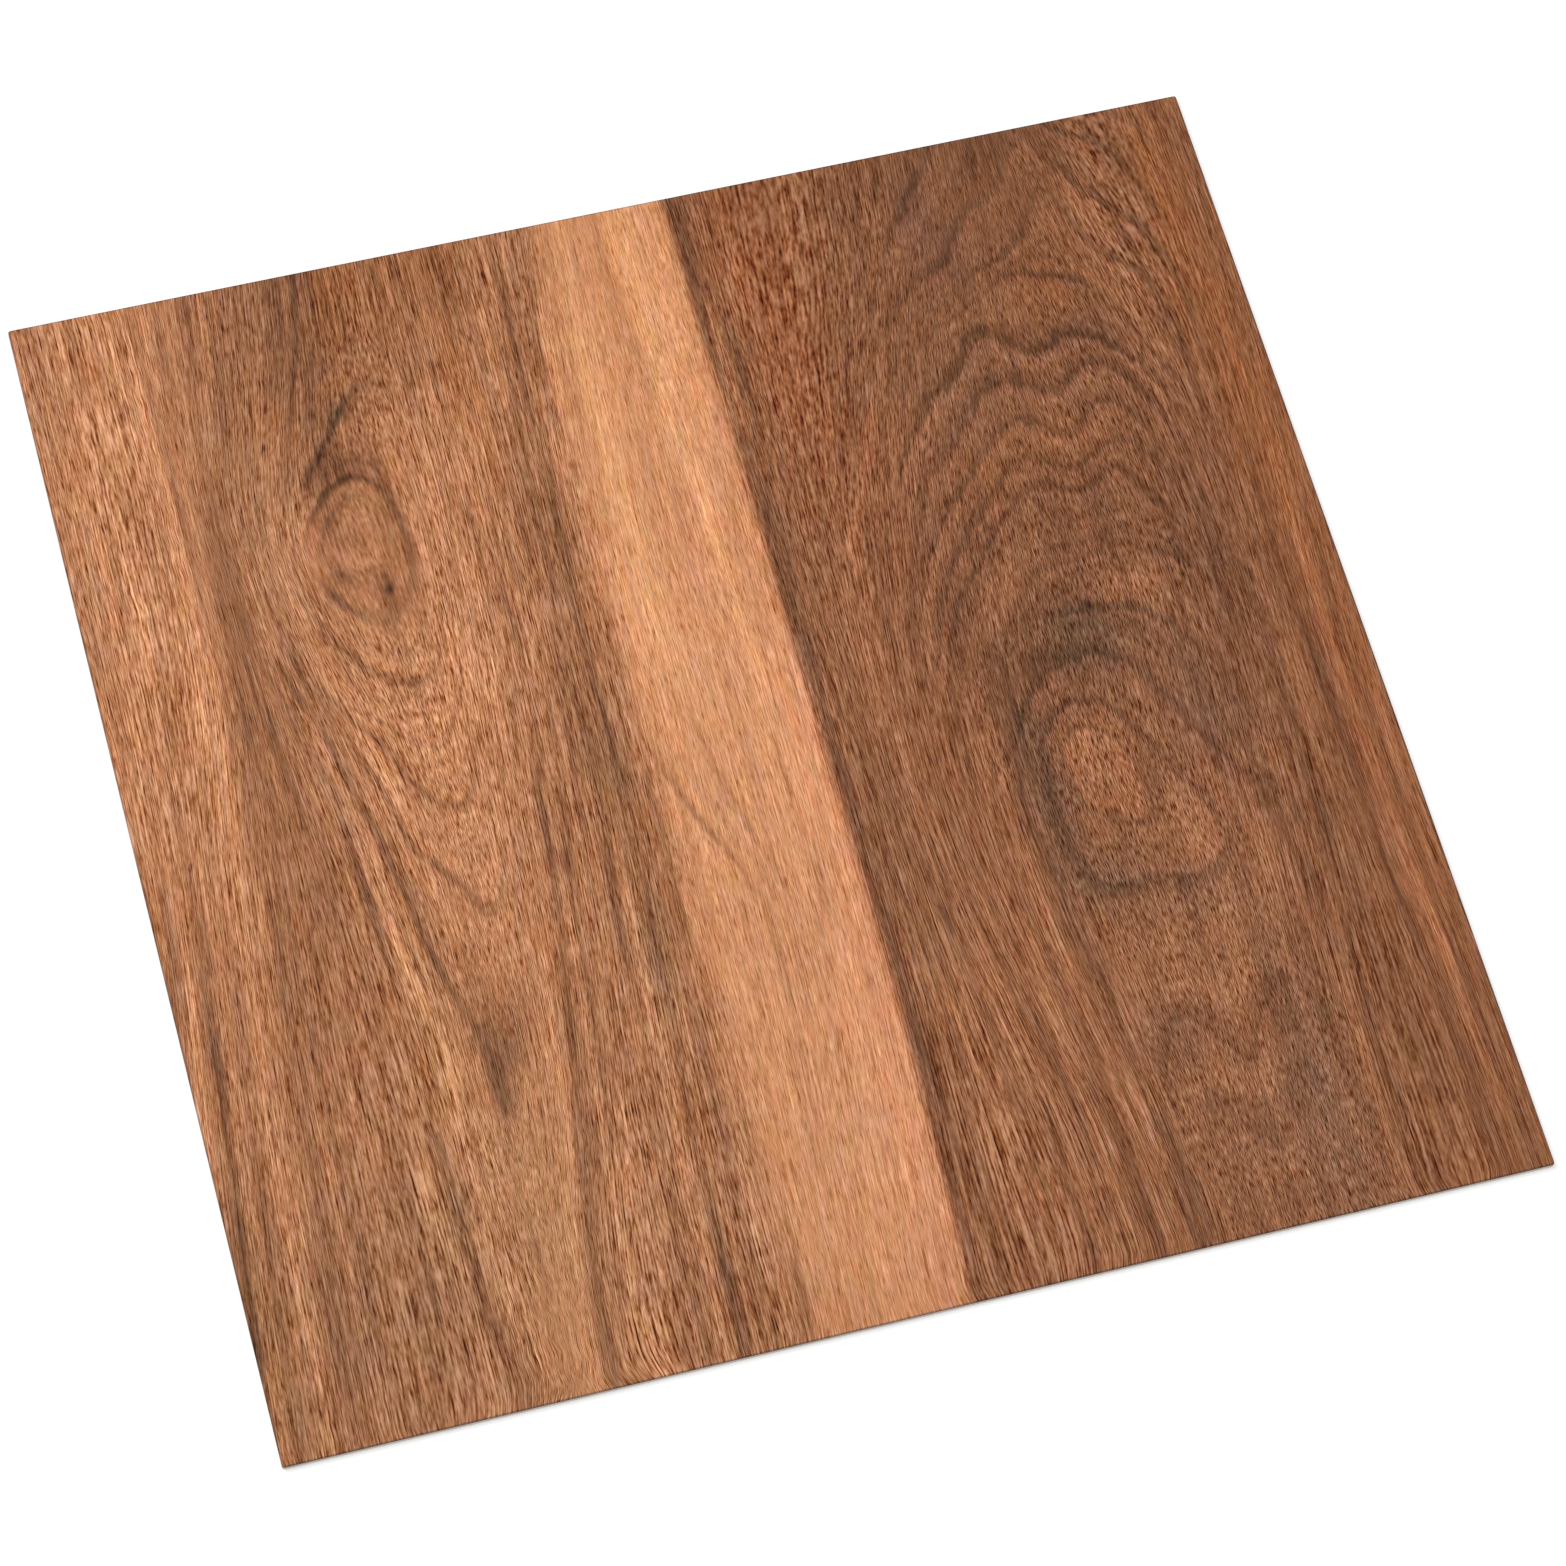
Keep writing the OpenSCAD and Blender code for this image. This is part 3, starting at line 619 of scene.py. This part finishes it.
# One map holds the whole skin: the print in the middle, the cut edge unrolled round it,
# and the plain back pressed into a strip beside it
skin_span = core_w + 2 * skin[-1] * edge_stretch
back_share = .05
map_scale = (1 - back_share - .01) / skin_span
skin_map = sheet_mesh.uv_layers.new(name="OFBake")
corner_points = np.empty(len(sheet_mesh.loops), int)
sheet_mesh.loops.foreach_get("vertex_index", corner_points)
kind_of_corner = np.repeat(kinds, [len(face) for face in faces])
print_uv = (unrolled + skin_span / 2) * map_scale + .003
back_uv = points[:, :2] / (tile_w, tile_len) + .5
back_uv = back_uv * (back_share - .012, .98) + (1 - back_share + .006, .01)
uv = np.where((kind_of_corner == BACK)[:, None], back_uv[corner_points], print_uv[corner_points])
skin_map.data.foreach_set("uv", uv.ravel())


def new_material(name):
    made = bpy.data.materials.new(name)
    made.use_nodes = True
    made.node_tree.nodes.clear()
    return made, made.node_tree


def add_node(tree, kind, inputs, **settings):
    made = tree.nodes.new(kind)
    for name, value in settings.items():
        setattr(made, name, value)
    for name, value in inputs.items():
        if isinstance(value, bpy.types.NodeSocket):
            tree.links.new(value, made.inputs[name])
        else:
            made.inputs[name].default_value = value
    return made


def calc(tree, operation, *values):
    return add_node(tree, "ShaderNodeMath", dict(enumerate(values)), operation=operation).outputs[0]


def total(tree, *values):
    result = values[0]
    for value in values[1:]:
        result = calc(tree, "ADD", result, value)
    return result


def times(tree, *values):
    result = values[0]
    for value in values[1:]:
        result = calc(tree, "MULTIPLY", result, value)
    return result


def ease(tree, value, start, end, low=0.0, high=1.0):
    inputs = {"Value": value, "From Min": start, "From Max": end, "To Min": low, "To Max": high}
    return add_node(tree, "ShaderNodeMapRange", inputs, interpolation_type="SMOOTHSTEP").outputs[0]


def layer(tree, name):
    return add_node(tree, "ShaderNodeAttribute", {}, attribute_name=name).outputs["Fac"]


def srgb(code):
    channels = [int(code[i:i + 2], 16) / 255 for i in (0, 2, 4)]
    return [c / 12.92 if c <= .04045 else ((c + .055) / 1.055) ** 2.4 for c in channels] + [1]


def ramp(tree, value, stops):
    made = add_node(tree, "ShaderNodeValToRGB", {"Fac": value})
    for place, code in stops[1:-1]:
        made.color_ramp.elements.new(place / 255)
    for element, (place, code) in zip(made.color_ramp.elements, stops):
        element.position = place / 255
        element.color = srgb(code)
    return made.outputs["Color"]


# The printed face
print_finish, tree = new_material("printed_wear_face")
spot = add_node(tree, "ShaderNodeTexCoord", {}).outputs["Object"]
split = add_node(tree, "ShaderNodeSeparateXYZ", {"Vector": spot})
down = times(tree, split.outputs["Y"], 1000)
across = layer(tree, "fibre")


def grain(width, length, detail=2.0, slice_no=0.0):
    """Noise drawn out along the fibres, in cells of so many mm, about 0 in the middle."""
    place = add_node(tree, "ShaderNodeCombineXYZ", {
        "X": times(tree, across, 1 / width), "Y": times(tree, down, 1 / length), "Z": slice_no})
    noise = add_node(tree, "ShaderNodeTexNoise",
                     {"Vector": place.outputs[0], "Scale": 1.0, "Detail": detail, "Roughness": .5})
    return calc(tree, "SUBTRACT", noise.outputs["Fac"], .5)


right_side = layer(tree, "sapwood_right")
ragged = times(tree, grain(.5, 14, 2, 9), 3)
in_band = times(tree, ease(tree, calc(tree, "ADD", right_side, ragged), -2.2, 3),
                ease(tree, calc(tree, "ADD", layer(tree, "sapwood_left"), ragged), -7, 8))
on_right = ease(tree, right_side, 1.4, -1.6)

# Dark line of each ring: sharp towards the heart of the log, and feathered into the fibres outside
gap = layer(tree, "ring_gap")
waver = total(tree, times(tree, grain(4, 7, 1, 3), 2.5), times(tree, grain(.8, 4, 1, 5), 3.5))
waver = times(tree, waver, total(tree, .45, times(tree, on_right, .55)))
number = total(tree, layer(tree, "ring"), calc(tree, "DIVIDE", waver, gap))
off = times(tree, calc(tree, "SUBTRACT", calc(tree, "FRACT", calc(tree, "ADD", number, .5)), .5), gap)
off = calc(tree, "ADD", off, .4)
outer_fade = total(tree, 2, times(tree, on_right, 1.2))
ring_line = calc(tree, "MINIMUM", ease(tree, off, .2, outer_fade, 1, 0), ease(tree, off, -1.5, .1))
ring_line = times(tree, ring_line, layer(tree, "ring_dark"), total(tree, 1, times(tree, grain(2.5, 7, 1, 44), .8)),
                  total(tree, 1.2, times(tree, on_right, -.3)))
inside_line = times(tree, ease(tree, off, -.6, -1.6), ease(tree, off, -5, -2), layer(tree, "ring_dark"), on_right)


def ring_grain(share, length, slice_no):
    """Noise drawn out along the rings, in cells of so much of a ring."""
    place = add_node(tree, "ShaderNodeCombineXYZ", {
        "X": times(tree, number, 1 / share), "Y": times(tree, down, 1 / length), "Z": slice_no})
    noise = add_node(tree, "ShaderNodeTexNoise", {"Vector": place.outputs[0], "Scale": 1.0, "Detail": 2.0})
    return calc(tree, "SUBTRACT", noise.outputs["Fac"], .5)


# Tone without the fine fibres, in 255ths
broken = total(tree, .8, times(tree, grain(.7, 26, 2, 7), 2.4))
calm_tone = total(
    tree, 126, times(tree, in_band, 33), times(tree, on_right, -27), times(tree, layer(tree, "streak_tone"), broken),
    layer(tree, "patch_tone"),
    times(tree, ring_line, -27), times(tree, inside_line, 4),
    times(tree, grain(1.6, 60, 2, 13), 38), times(tree, grain(7, 110, 1, 17), 20),
    times(tree, ring_grain(.35, 50, 23), 34, calc(tree, "SUBTRACT", 1, times(tree, in_band, .7))))

# Fine fibres and pores: long ones where the grain runs straight, short ones where it is cut across
in_oval = times(tree, ease(tree, layer(tree, "ring"), 3.2, 2), on_right)
cut_short = calc(tree, "MAXIMUM", layer(tree, "crossing"), in_oval)
patchy = total(tree, 1, times(tree, grain(4, 16, 1, 29), .7))
long_zone = times(tree, on_right, ease(tree, down, -10, -60))
long_fibre = times(tree, grain(.3, 26, 1, 11), total(
    tree, 1.15, times(tree, cut_short, -.95), times(tree, long_zone, .4)))
middle_fibre = times(tree, grain(.28, 6, 1, 14), total(
    tree, 1.25, times(tree, cut_short, -.4), times(tree, long_zone, -.4)))
short_fibre = times(tree, grain(.24, 2.4, 1, 12), total(tree, .65, times(tree, cut_short, .75)))
by_knot = times(tree, ease(tree, across, 40, 50), ease(tree, across, 130, 122))
in_knot = times(tree, ease(tree, layer(tree, "ring"), 3, 1.8), calc(tree, "SUBTRACT", 1, on_right))
pore = ease(tree, grain(.5, 4.5, 1, 19), .09, .2)
pore_depth = total(tree, -.17, times(tree, on_right, .12), times(tree, in_band, -.08))
relief = total(tree, long_fibre, middle_fibre, short_fibre, times(tree, pore, pore_depth), .01)
relief = times(
    tree, relief, patchy, total(tree, 1.12, times(tree, in_band, -.53), times(tree, by_knot, .16),
                               times(tree, on_right, total(tree, .2, times(tree, cut_short, .4)))),
    ease(tree, across, 278, 290, 1, .78), total(tree, 1, times(tree, in_knot, -.5)))
relief = times(tree, relief, calc(tree, "SUBTRACT", 1, times(tree, relief, .5)))
tone = total(tree, calm_tone, times(tree, calm_tone, relief))

# Painted shade: the print on the rolled shoulder is drawn darker and greyer than on the face
to_side = calc(tree, "SUBTRACT", tile_w / 2, calc(tree, "ABSOLUTE", times(tree, split.outputs["X"], 1000)))
to_end = calc(tree, "SUBTRACT", tile_len / 2, calc(tree, "ABSOLUTE", down))
shoulder_painted_shade = ease(tree, calc(tree, "MINIMUM", to_side, to_end), .5, .15)
tone = times(tree, tone, total(tree, 1, times(tree, shoulder_painted_shade, -.2)))

# Brown of that tone: how far red is above blue, and how far both are above green
# The painted shade on the shoulder also takes warmth out of its brown
warm = times(tree, calm_tone, total(tree, 1, times(tree, shoulder_painted_shade, -.4)), total(
    tree, 1.03, times(tree, calm_tone, -.00205), layer(tree, "warmth"), times(tree, on_right, .015),
    times(tree, inside_line, -.03), times(tree, grain(4, 9, 2, 31), .2), times(tree, ring_grain(.3, 30, 37), .2)))
pink = times(tree, calm_tone, total(
    tree, .125, times(tree, calm_tone, -.00035), layer(tree, "pinkness"), times(tree, on_right, .005),
    times(tree, inside_line, .02), times(tree, grain(3, 8, 2, 41), .12)))
shares = {"X": (.43, .715), "Y": (-.07, -.285), "Z": (-.57, .715)}
shown = add_node(tree, "ShaderNodeCombineXYZ", {
    axis: total(tree, tone, times(tree, warm, of_warm), times(tree, pink, of_pink))
    for axis, (of_warm, of_pink) in shares.items()}).outputs[0]
# From the brightness that is seen to the amount of light
scaled = add_node(tree, "ShaderNodeVectorMath", {0: shown, 1: (14, 14, 14)}, operation="ADD").outputs[0]
scaled = add_node(tree, "ShaderNodeVectorMath", {0: scaled, "Scale": 1 / 269}, operation="SCALE").outputs[0]
print_colour = add_node(tree, "ShaderNodeGamma", {"Color": scaled, "Gamma": 2.4}).outputs[0]

bump = add_node(tree, "ShaderNodeBump", {"Strength": .25, "Distance": .00006,
                                         "Height": calc(tree, "SUBTRACT", 1, pore)})
surface = add_node(tree, "ShaderNodeBsdfPrincipled", {
    "Base Color": print_colour, "Roughness": .5, "Specular IOR Level": .12,
    "Normal": bump.outputs["Normal"]})
add_node(tree, "ShaderNodeOutputMaterial", {"Surface": surface.outputs[0]})

# The cut edge: dark brown towards the top, under the shoulder, and pale filled vinyl below it
edge_finish, tree = new_material("cut_edge")
spot = add_node(tree, "ShaderNodeTexCoord", {}).outputs["Object"]
height = times(tree, add_node(tree, "ShaderNodeSeparateXYZ", {"Vector": spot}).outputs["Z"], 1000)
speckle = add_node(tree, "ShaderNodeTexNoise", {"Vector": spot, "Scale": 2600.0, "Detail": 2.0}).outputs["Fac"]
filler = ramp(tree, times(tree, speckle, 1), [(70, "D2C6B6"), (128, "E2D8CA"), (190, "EEE6DA")])
upper = ease(tree, height, .8, 1.15)
edge_colour = add_node(tree, "ShaderNodeMix", {"Factor": upper, 6: filler, 7: srgb("8A6E58")}, data_type="RGBA")
surface = add_node(tree, "ShaderNodeBsdfPrincipled", {
    "Base Color": edge_colour.outputs[2], "Roughness": .7, "Specular IOR Level": .3})
add_node(tree, "ShaderNodeOutputMaterial", {"Surface": surface.outputs[0]})

# The back: the same filled vinyl, with the faint cloth mark of the press
back_finish, tree = new_material("plain_back")
spot = add_node(tree, "ShaderNodeTexCoord", {}).outputs["Object"]
cloud = add_node(tree, "ShaderNodeTexNoise", {"Vector": spot, "Scale": 60.0, "Detail": 3.0}).outputs["Fac"]
back_colour = ramp(tree, cloud, [(60, "B3A796"), (128, "BAAF9F"), (200, "C1B7A8")])
surface = add_node(tree, "ShaderNodeBsdfPrincipled", {
    "Base Color": back_colour, "Roughness": .75, "Specular IOR Level": .3})
add_node(tree, "ShaderNodeOutputMaterial", {"Surface": surface.outputs[0]})

for finish in (print_finish, edge_finish, back_finish):
    sheet_mesh.materials.append(finish)
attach(sheet, "root")
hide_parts("vinyl_tile")

# Studio: a white floor, an even white room and one broad lamp high on the left
floor_mesh = bpy.data.meshes.new("floor")
floor_mesh.from_pydata([(-6, -6, 0), (6, -6, 0), (6, 6, 0), (-6, 6, 0)], [], [(0, 1, 2, 3)])
floor = bpy.data.objects.new("floor", floor_mesh)
floor.location.z = -.0001
bpy.context.collection.objects.link(floor)
floor_finish, tree = new_material("white_floor")
seen = add_node(tree, "ShaderNodeLightPath", {}).outputs["Is Camera Ray"]
painted = add_node(tree, "ShaderNodeBsdfDiffuse", {"Color": (.7, .7, .7, 1)})
lit = add_node(tree, "ShaderNodeEmission", {"Color": (1, 1, 1, 1), "Strength": times(tree, seen, .36)})
mixed = add_node(tree, "ShaderNodeAddShader", {0: painted.outputs[0], 1: lit.outputs[0]})
add_node(tree, "ShaderNodeOutputMaterial", {"Surface": mixed.outputs[0]})
floor_mesh.materials.append(floor_finish)

room = bpy.data.worlds.new("room")
bpy.context.scene.world = room
room.use_nodes = True
room.node_tree.nodes["Background"].inputs["Color"].default_value = (1, 1, 1, 1)
room.node_tree.nodes["Background"].inputs["Strength"].default_value = .6
lamp_data = bpy.data.lights.new("soft_lamp", "SUN")
lamp_data.energy = 1.5
lamp_data.angle = math.radians(40)
lamp = bpy.data.objects.new("soft_lamp", lamp_data)
lamp.rotation_euler = (math.radians(-20), math.radians(-28), 0)
bpy.context.collection.objects.link(lamp)

bpy.context.scene.view_settings.view_transform = "Standard"
